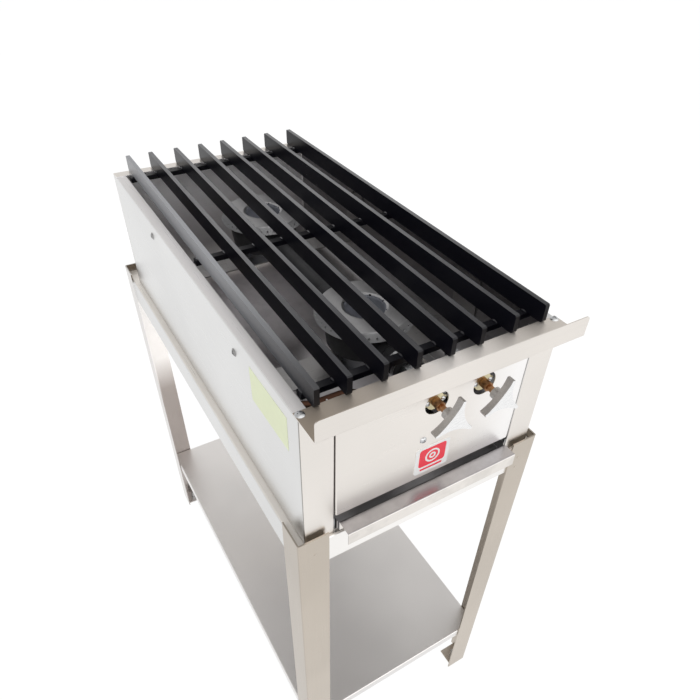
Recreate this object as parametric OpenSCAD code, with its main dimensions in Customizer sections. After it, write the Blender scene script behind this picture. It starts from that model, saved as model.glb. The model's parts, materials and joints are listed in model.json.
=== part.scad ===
// Two-burner gas stove on a tall angle stand, one burner behind the other.
// X is to the right seen from the front, Y runs to the back, Z is up, millimetres.
// Inside the modules Y = 0 is the front face of the body; placed() moves the
// stove so that the origin is in the middle of its footprint, on the floor.

/* [Body] */
// Width of the burner box
body_w = 350; // [340:5:380]
// Depth of the burner box
body_d = 680; // [670:5:700]
// Height of the burner box
body_h = 204; // [200:2:230]
// Thickness of the folded sheet
sheet_t = 1.2; // [0.8:0.1:1.6]
// Inner radius of the folds in the sheet
fold_r = 1.0; // [0.6:0.2:2]
// Width of the flange folded in along the top of each side
side_flange = 15.5; // [14:0.5:24]
// Width of the front strip folded from each side
front_strip = 40; // [36:1:44]
// Depth of the edge folded back from each front strip
strip_return = 14; // [10:1:18]
// Width of the flange folded forward along the top of the back
back_flange = 20; // [14:1:26]
// Width of the gap between the front panel and each strip
panel_gap = 1.4; // [1:0.2:4]
// Depth of the edges folded back round the front panel
panel_return = 10; // [8:1:14]

/* [Front ledge] */
// Height of the lip turned up at the front
lip_h = 28.5; // [20:0.5:36]
// How far the lip stands in front of the body
ledge_front = 34; // [28:1:40]
// How far the ledge reaches back over the body
ledge_back = 13; // [11:1:18]
// Radius at the top corners of the lip
lip_corner = 5; // [2:0.5:8]
// Distance of the ledge screws from the side of the body
ledge_screw_inset = 5.5; // [5:0.5:9]
// Distance of the ledge screws behind the front of the body
ledge_screw_y = 8; // [7:0.5:9]

/* [Stand] */
// Height of the rails' top, on which the body stands
rail_top = 692; // [640:2:760]
// How far a leg rises above the rails
leg_over = 12; // [6:1:20]
// Width of each flange of the leg angle
leg_w = 42; // [36:1:50]
// Thickness of the leg angle
leg_t = 2; // [1.5:0.5:3]
// Inner radius of the leg and rail angles
angle_r = 1; // [0.5:0.5:2]
// Gap between the side of the body and the outside of the leg
stand_side = 12.5; // [10:0.5:20]
// How far the legs stand in front of the body
stand_front = 6.5; // [4.5:0.5:12]
// How far the legs stand behind the body
stand_back = 48.5; // [40:0.5:60]
// Height of a rail's upright flange
rail_h = 46; // [36:1:56]
// Width of a rail's level flange
rail_w = 40; // [32:1:46]
// Thickness of the rails
rail_t = 2; // [1.5:0.5:3]
// Height of the shelf
shelf_z = 170; // [100:5:300]
// Height of the edge turned down round the shelf
shelf_skirt = 18; // [12:1:30]
// Clearance between the shelf and the legs
shelf_gap = 0.3; // [0.1:0.1:0.6]

/* [Feet] */
// Height of the leg's end above the floor
leg_clear = 11; // [10:0.5:18]
// Radius of a levelling foot's pad
pad_r = 9; // [7:0.5:12]
// Height of a levelling foot's pad
pad_h = 4; // [3:0.5:5]
// Radius of the levelling bolt
foot_bolt_r = 4; // [3:0.5:5]
// Height of the levelling bolt's lock nut
foot_nut_h = 5; // [4:0.5:5.5]
// Width across the flats of the lock nut
foot_nut_af = 13; // [11:0.5:16]
// Length of the levelling bolt above the floor
foot_bolt_l = 28; // [22:1:40]
// Width of the plate welded into a leg's end
foot_plate_w = 34; // [26:1:38]
// Thickness of that plate
foot_plate_t = 3; // [2:0.5:4]

/* [Grate] */
// Number of bars
bars = 8; // [6:1:8]
// Thickness of a bar
bar_t = 6.35; // [4:0.05:8]
// Height of a bar
bar_h = 25; // [20:0.5:30]
// Distance from the left side of the body to the middle of the first bar
first_bar_x = 26.5; // [24:0.1:28]
// Pitch between bars 1 and 2 at their middle
bar_pitch_1 = 37.2; // [35:0.1:42]
// Pitch between bars 2 and 3 at their middle
bar_pitch_2 = 43.1; // [39:0.1:47]
// Pitch between bars 3 and 4 at their middle
bar_pitch_3 = 42.5; // [39:0.1:47]
// Pitch between bars 4 and 5 at their middle
bar_pitch_4 = 42.8; // [39:0.1:47]
// Pitch between bars 5 and 6 at their middle
bar_pitch_5 = 41.1; // [39:0.1:47]
// Pitch between bars 6 and 7 at their middle
bar_pitch_6 = 45.7; // [39:0.1:47]
// Pitch between bars 7 and 8 at their middle
bar_pitch_7 = 45.4; // [39:0.1:47]
// How far the rear end of bar 1 stands to the right of its front end
bar_lean_1 = 4.0; // [-6:0.1:6]
// How far the rear end of bar 2 stands to the right of its front end
bar_lean_2 = 4.4; // [-6:0.1:6]
// How far the rear end of bar 3 stands to the right of its front end
bar_lean_3 = 5.0; // [-6:0.1:6]
// How far the rear end of bar 4 stands to the right of its front end
bar_lean_4 = 5.9; // [-6:0.1:6]
// How far the rear end of bar 5 stands to the right of its front end
bar_lean_5 = 0.8; // [-6:0.1:6]
// How far the rear end of bar 6 stands to the right of its front end
bar_lean_6 = 2.0; // [-6:0.1:6]
// How far the rear end of bar 7 stands to the right of its front end
bar_lean_7 = -3.7; // [-6:0.1:6]
// How far the rear end of bar 8 stands to the right of its front end
bar_lean_8 = -5.0; // [-6:0.1:6]
// Distance of the bars' front ends behind the front of the body
bar_front = 8; // [4:0.5:10]
// Distance of the bars' rear ends in front of the back
bar_back = 2.6; // [1:0.1:6]
// Chamfer at the bars' upper corners
bar_chamfer = 1.5; // [0.5:0.5:4]
// Radius at the bars' lower corners
bar_round = 4; // [2:0.5:8]
// Width of the three cross bars under the bars
cross_w = 10; // [8:0.5:12]
// Height of the cross bars
cross_h = 7.5; // [6:0.5:10]
// How far the cross bars stick out beyond the outer bars
cross_out = 4; // [1:0.5:5]
// Distance of the front cross bar behind the front of the body
cross_front_y = 38; // [30:1:60]
// Distance of the middle cross bar behind the middle of the body
cross_middle = 1; // [-40:1:20]
// Distance of the rear cross bar in front of the back
cross_rear = 32; // [32:1:100]
// Clearance under the resting grate
grate_gap = 0.1; // [0.05:0.05:0.3]

/* [Drip tray] */
// Clearance between the tray and each runner
tray_side_gap = 2.2; // [2:0.1:8]
// How much shorter than the tray the handle is at each end
handle_in = 2; // [1:0.5:30]
// Height of the tray's rim above the rails
tray_rim = 19; // [14:0.5:21]
// Thickness of the tray
tray_t = 1; // [0.8:0.1:1.2]
// How far the handle stands out in front of the body
handle_out = 24.5; // [18:0.5:30]
// Height of the handle's turned-down edge
handle_drop = 19.5; // [12:0.5:24]
// Distance of the pan's rear edge in front of the back
tray_back = 40; // [24:1:120]
// How far the pan stands out in front of the body
tray_out = 2; // [1:0.5:4]
// Height of the opening for the tray under the front panel
slot_h = 28; // [24:1:34]
// Clearance under the tray
tray_gap = 0.3; // [0.2:0.1:0.5]
// Width of each runner's foot under the tray
runner_foot = 8.5; // [6:0.5:12]
// Height of the runners
runner_h = 22; // [18:1:26]

/* [Knobs] */
// Distance between the two spindles
knob_pitch = 69.5; // [66:0.5:76]
// Height of the spindles above the bottom of the body
knob_z = 152.5; // [150:0.5:156]
// Radius to the tips of the three-pointed knob
knob_r = 29.5; // [24:0.5:32]
// Radius to the middle of the knob's hollow sides
knob_waist = 11; // [9.5:0.5:13]
// Radius of the knob's hollow sides
knob_hollow_r = 59.5; // [50:0.5:80]
// Thickness of the knob
knob_t = 9.5; // [7:0.5:12]
// Distance of the knob's front face in front of the body
knob_front = 37.5; // [35:0.5:45]
// Radius of the knob's hub
hub_r = 7.5; // [6.5:0.5:9]
// Length of the knob's hub
hub_l = 10; // [8:0.5:12]
// Radius of the dish in the knob's face
dish_r = 260; // [150:10:400]
// Angle of the first tip, seen from the front
tip_angle = 80; // [0:5:115]
// Radius of the spindle
stem_r = 4; // [3:0.25:5]
// Radius of the spindle's collar
collar_r = 6; // [5:0.25:7]
// Length of the spindle's collar
collar_l = 11; // [8:0.5:13]
// Depth of the flat on the spindle
stem_flat = 1; // [0.5:0.1:1.2]
// Running clearance round the spindle
stem_gap = 0.05; // [0.03:0.01:0.08]
// Radius of the hole in the front panel round each spindle
panel_hole_r = 16.5; // [15.5:0.5:18]

/* [Valves] */
// Radius of a valve's body
valve_r = 11; // [10:0.5:12]
// Distance of a valve's front plate behind the body's front
valve_front = 3; // [2:0.5:5]
// Distance of a valve's outlet face behind the body's front
valve_back = 62; // [60:1:66]
// Thickness of the valve's front plate
bonnet_t = 3; // [2:0.5:4]
// Distance between the two screws of the valve's front plate
bonnet_screws = 22; // [22:0.5:26]
// Sideways offset of the outlet from the spindle
outlet_dx = 7; // [5:0.5:7.5]
// Drop of the outlet under the spindle
outlet_dz = 6.5; // [5.5:0.5:7]
// Radius of a valve's outlet
outlet_r = 6.5; // [6:0.25:7]
// Radius of the gas manifold
manifold_r = 9; // [8:0.5:10]
// Wall of the manifold and of the gas pipes
pipe_wall = 1; // [0.8:0.1:1.5]
// Drop of the manifold under the spindles
manifold_drop = 32.5; // [31:0.5:35]
// Distance of the manifold behind the body's front
manifold_y = 34; // [32:1:38]
// Length of the manifold left of the first spindle
manifold_left = 62; // [58:1:70]
// Length of the manifold right of the second spindle
manifold_right = 24; // [14:1:40]
// Radius of the bosses on the manifold
boss_r = 7; // [6:0.5:8]

/* [Gas pipes] */
// Radius of the supply pipe
supply_r = 6; // [5:0.5:7]
// Radius of the rear burner's pipe
feed_r = 4; // [3:0.5:5]
// Distance of the supply pipe from the side of the body
supply_x = 29; // [27:1:32]
// Bend radius of the supply pipe
supply_bend = 45; // [36:1:50]
// Bend radius of the supply pipe by the manifold
supply_bend_front = 28; // [24:1:30]
// Distance of the supply pipe's front run behind the body's front
supply_y = 96; // [92:1:100]
// Distance of the manifold's inlet from the manifold's left end
inlet_boss_x = 18; // [14:1:24]
// Bend radius of the rear burner's pipe
feed_bend = 20; // [16:1:24]
// Width across the flats of the pipe nuts
nut_af = 16; // [15:0.5:17]
// Length of a pipe nut
nut_l = 12; // [9:0.5:14]
// Radius of the hose spigot on the gas inlet
spigot_r = 4.75; // [4:0.05:6]
// Length of the hose spigot
spigot_l = 24; // [18:1:28]
// Width across the flats of the inlet's hexagon
inlet_af = 19; // [17:0.5:22]
// Distance of the pipe clip behind the body's front
clip_y = 430; // [380:5:560]
// Width of the pipe clip
clip_w = 14; // [10:1:20]

/* [Burners] */
// Distance of the burners' middle from the middle of the body
burner_x = 4.5; // [-4:0.5:6]
// Distance of the front burner behind the front of the body
burner_front_y = 169; // [168:1:174]
// Distance of the rear burner behind the front of the body
burner_rear_y = 483; // [474:1:490]
// Outer radius of the burner cap
cap_r = 66; // [64:0.5:68]
// Radius of the hole through the burner cap
cap_hole_r = 26; // [25:0.5:28]
// Rounding at the top of that hole
cap_round = 4.5; // [3:0.5:6]
// Height of the cap's top over the support
cap_top = 73; // [71:0.5:78]
// Height of the sloping shoulder with the flame ports
cap_band_h = 11; // [10:0.5:12]
// How much that shoulder narrows upwards
cap_band_in = 5.5; // [2:0.5:7]
// Chamfer at the cap's top edge
cap_chamfer = 1; // [0.5:0.5:2.5]
// Thickness of the cap
cap_t = 3; // [2.5:0.5:3.5]
// Radius of the flame ports
port_r = 1.5; // [1:0.1:1.8]
// Number of flame ports round the outside
outer_ports = 40; // [24:1:44]
// Number of flame ports round the hole
inner_ports = 8; // [6:1:16]
// Radius of the burner bowl at its rim
bowl_r = 55; // [53:0.5:57]
// Radius of the burner bowl at its floor
bowl_floor_r = 50; // [47:0.5:51]
// Chamfer round the bowl's floor
bowl_chamfer = 3; // [1:0.5:4]
// Height of the burner bowl
bowl_h = 43; // [42:0.5:44]
// Wall of the burner bowl
bowl_t = 3; // [2.5:0.5:4]
// Height of the bowl's feet on the support
bowl_foot_h = 18; // [17:0.5:20]
// Radius of the bowl's feet
bowl_foot_r = 6; // [5.5:0.5:7]
// Distance between the bowl's feet
bowl_feet = 66; // [64:1:70]
// Outer radius of the mixing tubes
mixer_r = 13; // [12:0.5:13.5]
// Wall of the mixing tubes
mixer_t = 2.5; // [2:0.5:3]
// Radius of the mouth of a mixing tube
mouth_r = 17; // [16:0.5:18]
// Length of the mouth of a mixing tube
mouth_l = 17; // [15:0.5:20]
// Thickness of the air shutters
shutter_t = 1.2; // [1:0.1:1.4]
// Running clearance of the air shutters
shutter_gap = 0.1; // [0.05:0.05:0.2]
// Radius of the jet in the mixing tube's mouth
jet_r = 6; // [5:0.25:6.5]
// Clearance round the jet
jet_gap = 0.2; // [0.1:0.1:0.4]
// Distance of the rear mixing tube's mouth behind the body's front
rear_mouth_y = 252; // [252:1:260]

/* [Burner supports] */
// Height of the supports above the bottom of the body
support_z = 110; // [109:0.5:111]
// Width of the supports
support_w = 50; // [48:1:60]
// Thickness of the supports
support_t = 2; // [1.5:0.5:3]
// Distance of the front support behind the body's front
support_front_y = 167; // [164:1:178]
// Distance of the rear support behind the body's front
support_rear_y = 476; // [474:1:492]
// Drop of the front support's screws under the body's top
screw_front_drop = 28.5; // [20:0.5:34]
// Drop of the rear support's screws under the body's top
screw_rear_drop = 21; // [20:0.5:34]

/* [Fasteners and plates] */
// Radius of the small screws
screw_r = 2; // [1.5:0.25:2]
// Radius of their heads
screw_head_r = 5.5; // [4:0.25:6]
// Height of their heads
screw_head_h = 2.6; // [2:0.2:3.5]
// Length of their shanks
screw_l = 8; // [7:0.5:10]
// Radius of the heads of the screws in the valves' front plates
bonnet_head_r = 3.4; // [3:0.1:3.6]
// Height of those heads
bonnet_head_h = 2.2; // [1.6:0.1:2.4]
// Radius of the head of the screw in the front panel
panel_head_r = 4.8; // [4:0.2:5.6]
// Height of that head
panel_head_h = 3; // [2:0.2:3.4]
// Radius of the heads of the screws in the tray runners
jamb_head_r = 3.5; // [3:0.25:4.5]
// Height of those heads
jamb_head_h = 1.6; // [1.2:0.1:1.7]
// Length of their shanks
jamb_screw_l = 6; // [4:0.5:8]
// Height of those screws above the bottom of the body
jamb_screw_rise = 16; // [14:0.5:17]
// Radius of the heads of the bolts under the bowls
bolt_head_r = 4.5; // [4:0.25:5]
// Height of those heads
bolt_head_h = 2.6; // [2:0.2:3.5]
// Length of their shanks
bolt_l = 9; // [7:0.5:12]
// Clearance round the small screws
screw_gap = 0.15; // [0.1:0.05:0.3]
// Width of the plate on the front panel
badge_w = 51; // [40:1:60]
// Height of the plate on the front panel
badge_h = 45.5; // [36:0.5:50]
// Distance of that plate's middle from the middle of the body
badge_x = 2.5; // [-10:0.5:10]
// Height of that plate's middle above the bottom of the body
badge_z = 60.7; // [56:0.1:64]
// Thickness of that plate
badge_t = 1; // [0.6:0.1:1.5]
// Length of the label on the left side
label_l = 94; // [60:1:110]
// Height of the label
label_h = 48; // [30:1:60]
// Thickness of the label
label_t = 0.3; // [0.2:0.1:0.5]
// Distance of the label behind the body's front
label_y = 28; // [20:1:40]
// Drop of the label's upper edge under the body's top
label_drop = 18; // [10:1:60]

/* [Hidden] */
$fn = 48;

steel = [0.80, 0.79, 0.76];
bright = [0.72, 0.71, 0.70];
iron = [0.12, 0.12, 0.13];
brass = [0.66, 0.50, 0.28];
copper = [0.60, 0.34, 0.20];
zinc = [0.70, 0.71, 0.72];
cast_aluminium = [0.82, 0.82, 0.83];

side_x = body_w / 2;
top_z = rail_top + body_h;
fold_o = sheet_t + fold_r;
angle_o = leg_t + angle_r;
rail_o = rail_t + angle_r;
leg_x = side_x + stand_side;
leg_y0 = -stand_front;
leg_y1 = body_d + stand_back;
leg_top = rail_top + leg_over;
rail_x = leg_x - leg_t;
rail_y0 = leg_y0 + leg_t;
rail_y1 = leg_y1 - leg_t;
y_mid = (leg_y1 - knob_front) / 2;
strip_x = side_x - front_strip;
panel_w = 2 * (strip_x - panel_gap);
panel_z = rail_top + slot_h;
runner_x = strip_x - sheet_t;
tray_w = 2 * (runner_x - tray_side_gap);
tray_front = -tray_out;
tray_d = body_d - tray_back - tray_front;
handle_w = tray_w - 2 * handle_in;
bar_z = top_z + sheet_t + grate_gap;
bar_y0 = bar_front;
bar_l = body_d - bar_back - bar_front;
tray_z = rail_top + sheet_t + tray_gap;
tray_top = rail_top + tray_rim;
spindle_z = rail_top + knob_z;
valve_x = burner_x - outlet_dx;
gas_z = spindle_z - outlet_dz;
manifold_z = spindle_z - manifold_drop;
manifold_x0 = valve_x - manifold_left;
boss_top = (manifold_z + manifold_r + spindle_z - valve_r) / 2;
supply_wall_x = -side_x + supply_x;
inlet_x = manifold_x0 + inlet_boss_x;
support_top = rail_top + support_z;
bowl_z = support_top + bowl_foot_h;
cap_z = support_top + cap_top;
elbow_gap = 6;
elbow_y = rear_mouth_y - elbow_gap - nut_af / 2;
elbow_w = nut_af;
stem_in = 14;
stem_back = valve_front + stem_in;
screw_hole = screw_r + screw_gap;

bar_pitches = [bar_pitch_1, bar_pitch_2, bar_pitch_3, bar_pitch_4, bar_pitch_5, bar_pitch_6, bar_pitch_7];
bar_leans = [bar_lean_1, bar_lean_2, bar_lean_3, bar_lean_4, bar_lean_5, bar_lean_6, bar_lean_7, bar_lean_8];
function bar_x(i) = i > 0 ? bar_x(i - 1) + bar_pitches[i - 1] : first_bar_x - side_x;

// Puts the stove's footprint round the origin
module placed() {
    translate([0, -y_mid, 0]) children();
}

// A quarter of a ring, for the folds
module quarter_ring(t, r) {
    intersection() {
        difference() {
            circle(r = r + t);
            circle(r = r);
        }
        square(r + t);
    }
}

// Section of a folded sheet: each run is [length, turn], turn 1 is left and -1 is right
module fold(runs, t, r, i = 0) {
    if (runs[i][0] > 0) square([runs[i][0], t]);
    if (i < len(runs) - 1) translate([runs[i][0], 0]) {
        if (runs[i][1] > 0) {
            translate([0, t + r]) rotate(-90) quarter_ring(t, r);
            translate([t + r, t + r]) rotate(90) fold(runs, t, r, i + 1);
        } else {
            translate([0, -r]) quarter_ring(t, r);
            translate([r, -r]) rotate(-90) fold(runs, t, r, i + 1);
        }
    }
}

// Extrudes a section drawn in Y and Z along X
module along_x(x0, length) {
    translate([x0, 0, 0]) rotate([90, 0, 90]) linear_extrude(length) children();
}

// Extrudes a section drawn in X and Z along Y
module along_y(y0, length) {
    translate([0, y0 + length, 0]) rotate([90, 0, 0]) linear_extrude(length) children();
}

// A cylinder along X or Y
module rod_x(r, x0, length) {
    translate([x0, 0, 0]) rotate([0, 90, 0]) cylinder(r = r, h = length);
}

module rod_y(r, y0, length) {
    translate([0, y0, 0]) rotate([-90, 0, 0]) cylinder(r = r, h = length);
}

// A hexagonal bar along Y, flats at top and bottom
module hex_y(af, y0, length) {
    translate([0, y0, 0]) rotate([-90, 0, 0]) cylinder(r = af / sqrt(3), h = length, $fn = 6);
}

// Pan-head screw standing on its head's underside, shank downwards, with a crossed recess
module screw(head_r, head_h, shank_r, shank_l) {
    dome_r = (head_r * head_r + head_h * head_h) / (2 * head_h);
    difference() {
        intersection() {
            cylinder(r = head_r, h = head_h);
            translate([0, 0, head_h - dome_r]) sphere(r = dome_r);
        }
        for (a = [0, 90]) rotate(a)
            translate([-head_r * 0.55, -head_r * 0.1, head_h * 0.45])
                cube([head_r * 1.1, head_r * 0.2, head_h]);
    }
    translate([0, 0, -shank_l]) cylinder(r = shank_r, h = shank_l);
}

// Stand

// A leg: folded angle with a plate for the foot welded in its end
module leg() {
    run = leg_w - angle_o;
    translate([0, 0, leg_clear]) linear_extrude(leg_top - leg_clear)
        translate([-leg_x, leg_y0 + leg_w]) rotate(-90) fold([[run, 1], [run, 0]], leg_t, angle_r);
    difference() {
        translate([-leg_x + leg_t, leg_y0 + leg_t, leg_clear])
            cube([foot_plate_w, foot_plate_w, foot_plate_t]);
        translate([foot_x, foot_y, leg_clear - 1])
            cylinder(r = foot_bolt_r + screw_gap, h = foot_plate_t + 2);
    }
}
foot_x = -leg_x + leg_t + foot_plate_w / 2;
foot_y = leg_y0 + leg_t + foot_plate_w / 2;

module to_rear() {
    translate([0, leg_y0 + leg_y1, 0]) mirror([0, 1, 0]) children();
}

module to_right() {
    mirror([1, 0, 0]) children();
}

module leg_front_left() {
    color(steel) placed() leg();
}

module leg_front_right() {
    color(steel) placed() to_right() leg();
}

module leg_rear_left() {
    color(steel) placed() to_rear() leg();
}

module leg_rear_right() {
    color(steel) placed() to_right() to_rear() leg();
}

// Foot: round pad, bolt through the leg's plate, lock nut under the plate
module foot() {
    translate([foot_x, foot_y, 0]) {
        cylinder(r1 = pad_r, r2 = pad_r - pad_taper, h = pad_h);
        cylinder(r = foot_bolt_r, h = foot_bolt_l);
        translate([0, 0, leg_clear - foot_nut_h]) cylinder(r = foot_nut_af / sqrt(3), h = foot_nut_h, $fn = 6);
    }
}

pad_taper = 1.5;

module levelling_feet() {
    color(zinc) placed() {
        foot();
        to_right() foot();
        to_rear() foot();
        to_right() to_rear() foot();
    }
}

// Cross rail behind the front legs' flanges, notched at its ends for the side rails
module cross_rail() {
    difference() {
        along_x(-rail_x + angle_r, 2 * (rail_x - angle_r))
            translate([rail_y0 + rail_w, rail_top]) rotate(180)
                fold([[rail_w - rail_o, 1], [rail_h - rail_o, 0]], rail_t, angle_r);
        for (s = [-1, 1]) translate([s * rail_x, 0, 0])
            translate([-rail_w, rail_y0 + rail_o, rail_top - rail_h - 1])
                cube([2 * rail_w, rail_w, rail_h + 2]);
    }
}

module rail_front() {
    color(steel) placed() cross_rail();
}

module rail_rear() {
    color(steel) placed() to_rear() cross_rail();
}

// Side rail between the two cross rails; the body's side stands on it
module side_rail() {
    along_y(rail_y0 + rail_o, rail_y1 - rail_y0 - 2 * rail_o)
        translate([-rail_x + rail_w, rail_top]) rotate(180)
            fold([[rail_w - rail_o, 1], [rail_h - rail_o, 0]], rail_t, angle_r);
}

module rail_left() {
    color(steel) placed() side_rail();
}

module rail_right() {
    color(steel) placed() to_right() side_rail();
}

// Shelf with its four edges turned down, between the legs
module shelf() {
    half = rail_x - shelf_gap;
    y0 = rail_y0 + shelf_gap;
    length = rail_y1 - rail_y0 - 2 * shelf_gap;
    skirt = shelf_skirt - fold_o;
    color(steel) placed() {
        along_y(y0 + fold_o, length - 2 * fold_o)
            translate([half, shelf_z - shelf_skirt]) rotate(90)
                fold([[skirt, 1], [2 * half - 2 * fold_o, 1], [skirt, 0]], sheet_t, fold_r);
        along_x(-half + fold_o, 2 * half - 2 * fold_o)
            translate([y0 + length, shelf_z - shelf_skirt]) rotate(90)
                fold([[skirt, 1], [length - 2 * fold_o, 1], [skirt, 0]], sheet_t, fold_r);
    }
}

// Body

// Places for the screws that hold the supports, [Y, Z]
support_screws = [
    [support_front_y, top_z - screw_front_drop],
    [support_rear_y, top_z - screw_rear_drop]
];
jamb_screw_y = fold_o + strip_return / 2;
jamb_screw_z = rail_top + jamb_screw_rise;
support_edge = 9;

// Side: wall with top and bottom flanges, front strip and the strip's own edge
module side_panel() {
    wall = body_h - 2 * fold_o;
    flange = side_flange - fold_o;
    difference() {
        union() {
            along_y(fold_o, body_d - 2 * fold_o)
                translate([-side_x + side_flange, top_z]) rotate(180)
                    fold([[flange, 1], [wall, 1], [flange, 0]], sheet_t, fold_r);
            translate([0, 0, rail_top]) linear_extrude(body_h)
                translate([-side_x, fold_o]) rotate(-90)
                    fold([[0, 1], [front_strip - 2 * fold_o, 1], [strip_return, 0]], sheet_t, fold_r);
        }
        for (p = support_screws) translate([0, p[0], p[1]]) rod_x(screw_hole, -side_x - 1, sheet_t + 2);
        translate([0, jamb_screw_y, jamb_screw_z]) rod_x(screw_hole, -strip_x - sheet_t - 1, sheet_t + 2);
        translate([-side_x + ledge_screw_inset, ledge_screw_y, top_z - sheet_t - 1])
            cylinder(r = screw_hole, h = sheet_t + 2);
    }
}

module side_panel_left() {
    color(steel) placed() side_panel();
}

module side_panel_right() {
    color(steel) placed() to_right() side_panel();
}

// Back with its top flange over the sides' flanges and the hole for the gas inlet
module back_panel() {
    color(steel) placed() difference() {
        along_x(-side_x, body_w)
            translate([body_d - side_flange, rail_top])
                fold([[side_flange - fold_o, 1], [body_h + sheet_t - 2 * fold_o, 1],
                      [back_flange - fold_o, 0]], sheet_t, fold_r);
        translate([supply_wall_x, 0, manifold_z]) rod_y(inlet_thread_r + screw_gap, body_d - sheet_t - 1, sheet_t + 2);
        for (s = [-1, 1]) translate([s * side_x, body_d - side_flange - 1, rail_top - 1])
            translate([-side_flange - flange_gap, 0, 0])
                cube([2 * (side_flange + flange_gap), side_flange + 1 - fold_o, sheet_t + 1 + fold_r]);
    }
}
flange_gap = 0.5;
inlet_thread_r = supply_r + 2;

// Front panel with its edges folded back and a round hole for each spindle
module front_panel() {
    width = panel_w;
    height = top_z - panel_z;
    run = panel_return - fold_o;
    color(steel) placed() difference() {
        union() {
            along_x(-width / 2 + fold_o, width - 2 * fold_o)
                translate([panel_return, top_z]) rotate(180)
                    fold([[run, 1], [height - 2 * fold_o, 1], [run, 0]], sheet_t, fold_r);
            translate([0, 0, panel_z + fold_o]) linear_extrude(height - 2 * fold_o)
                translate([-width / 2, panel_return]) rotate(-90)
                    fold([[run, 1], [width - 2 * fold_o, 1], [run, 0]], sheet_t, fold_r);
        }
        for (i = [0, 1]) translate([valve_x + i * knob_pitch, 0, spindle_z]) rod_y(panel_hole_r, -1, sheet_t + 2);
        translate([bracket_x, 0, bracket_screw_z]) rod_y(screw_hole, -1, sheet_t + 2);
    }
}
bracket_w = 60;
bracket_h = 22;
bracket_x = valve_x - 12.4;
bracket_t = 2;
bracket_top = manifold_z - manifold_r;
bracket_screw_z = bracket_top - 13;

// Ledge screwed on the body's front, with its lip turned up
module front_ledge() {
    color(steel) placed() difference() {
        along_x(-side_x, body_w)
            translate([-ledge_front, top_z + lip_h]) rotate(-90)
                fold([[lip_h - fold_o, 1], [ledge_front + ledge_back - fold_o, 0]], sheet_t, fold_r);
        for (s = [-1, 1]) {
            translate([s * (side_x - ledge_screw_inset), ledge_screw_y, top_z - 1])
                cylinder(r = screw_hole, h = sheet_t + 2);
            translate([s * (side_x - lip_corner), -ledge_front - 1, top_z + lip_h - lip_corner])
                rotate([-90, 0, 0]) difference() {
                    translate([s > 0 ? 0 : -lip_corner - 1, -lip_corner - 1, 0])
                        cube([lip_corner + 1, lip_corner + 1, sheet_t + 2]);
                    translate([0, 0, -1]) cylinder(r = lip_corner, h = sheet_t + 4);
                }
        }
    }
}

// Runner on which the tray slides, screwed to the front strip's folded edge
module tray_runner() {
    difference() {
        along_y(fold_o, body_d - 2 * fold_o)
            translate([-strip_x, rail_top + runner_h]) rotate(-90)
                fold([[runner_h - fold_o, 1], [runner_foot - fold_o, 0]], sheet_t, fold_r);
        translate([0, jamb_screw_y, jamb_screw_z]) rod_x(screw_hole, -strip_x - 1, sheet_t + 2);
        translate([-strip_x - 1, body_d - side_flange - 1, rail_top - 1])
            cube([runner_foot + 2, side_flange + 2, sheet_t + 1 + screw_gap]);
    }
}

module tray_runner_left() {
    color(steel) placed() tray_runner();
}

module tray_runner_right() {
    color(steel) placed() to_right() tray_runner();
}

// Drip tray: shallow pan whose front edge is folded out as the handle
module drip_tray() {
    tray_o = tray_t + fold_r;
    wall = tray_top - tray_z;
    half = tray_w / 2;
    color(bright) placed() {
        along_y(tray_front + tray_o, tray_d - 2 * tray_o)
            translate([-half, tray_top]) rotate(-90)
                fold([[wall - tray_o, 1], [tray_w - 2 * tray_o, 1], [wall - tray_o, 0]], tray_t, fold_r);
        along_x(-handle_w / 2, handle_w)
            translate([-handle_out + tray_t, tray_top - handle_drop]) rotate(90)
                fold([[handle_drop - tray_o, -1],
                      [handle_out + tray_front - 2 * fold_r - 2 * tray_t, -1],
                      [wall - 2 * tray_o, 1],
                      [tray_d - tray_t - 2 * fold_r - tray_t, 1],
                      [wall - tray_o, 0]], tray_t, fold_r);
    }
}

// Burners

// Strip across the body that carries a burner, its ends turned up along the sides
module burner_support(y, screw_z, feet_y) {
    inner = side_x - sheet_t;
    support_o = support_t + fold_r;
    tab = screw_z + support_edge - support_top + support_t - support_o;
    difference() {
        along_y(y - support_w / 2, support_w)
            translate([-inner, screw_z + support_edge]) rotate(-90)
                fold([[tab, 1], [2 * inner - 2 * support_o, 1], [tab, 0]], support_t, fold_r);
        for (s = [-1, 1]) {
            translate([0, y, screw_z]) rod_x(screw_hole, s * inner - support_t - 1, 2 * support_t + 2);
            translate([burner_x + s * bowl_feet / 2, feet_y, support_top - support_t - 1])
                cylinder(r = screw_hole, h = support_t + 2);
        }
    }
}

module burner_support_front() {
    color(bright) placed() burner_support(support_front_y, support_screws[0][1], burner_front_y);
}

module burner_support_rear() {
    color(bright) placed() burner_support(support_rear_y, support_screws[1][1], burner_rear_y);
}

socket_out = 13;
socket_y = bowl_floor_r + socket_out;
socket_r = mixer_r + bowl_t;
socket_l = 20;
tube_in = 7;

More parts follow.
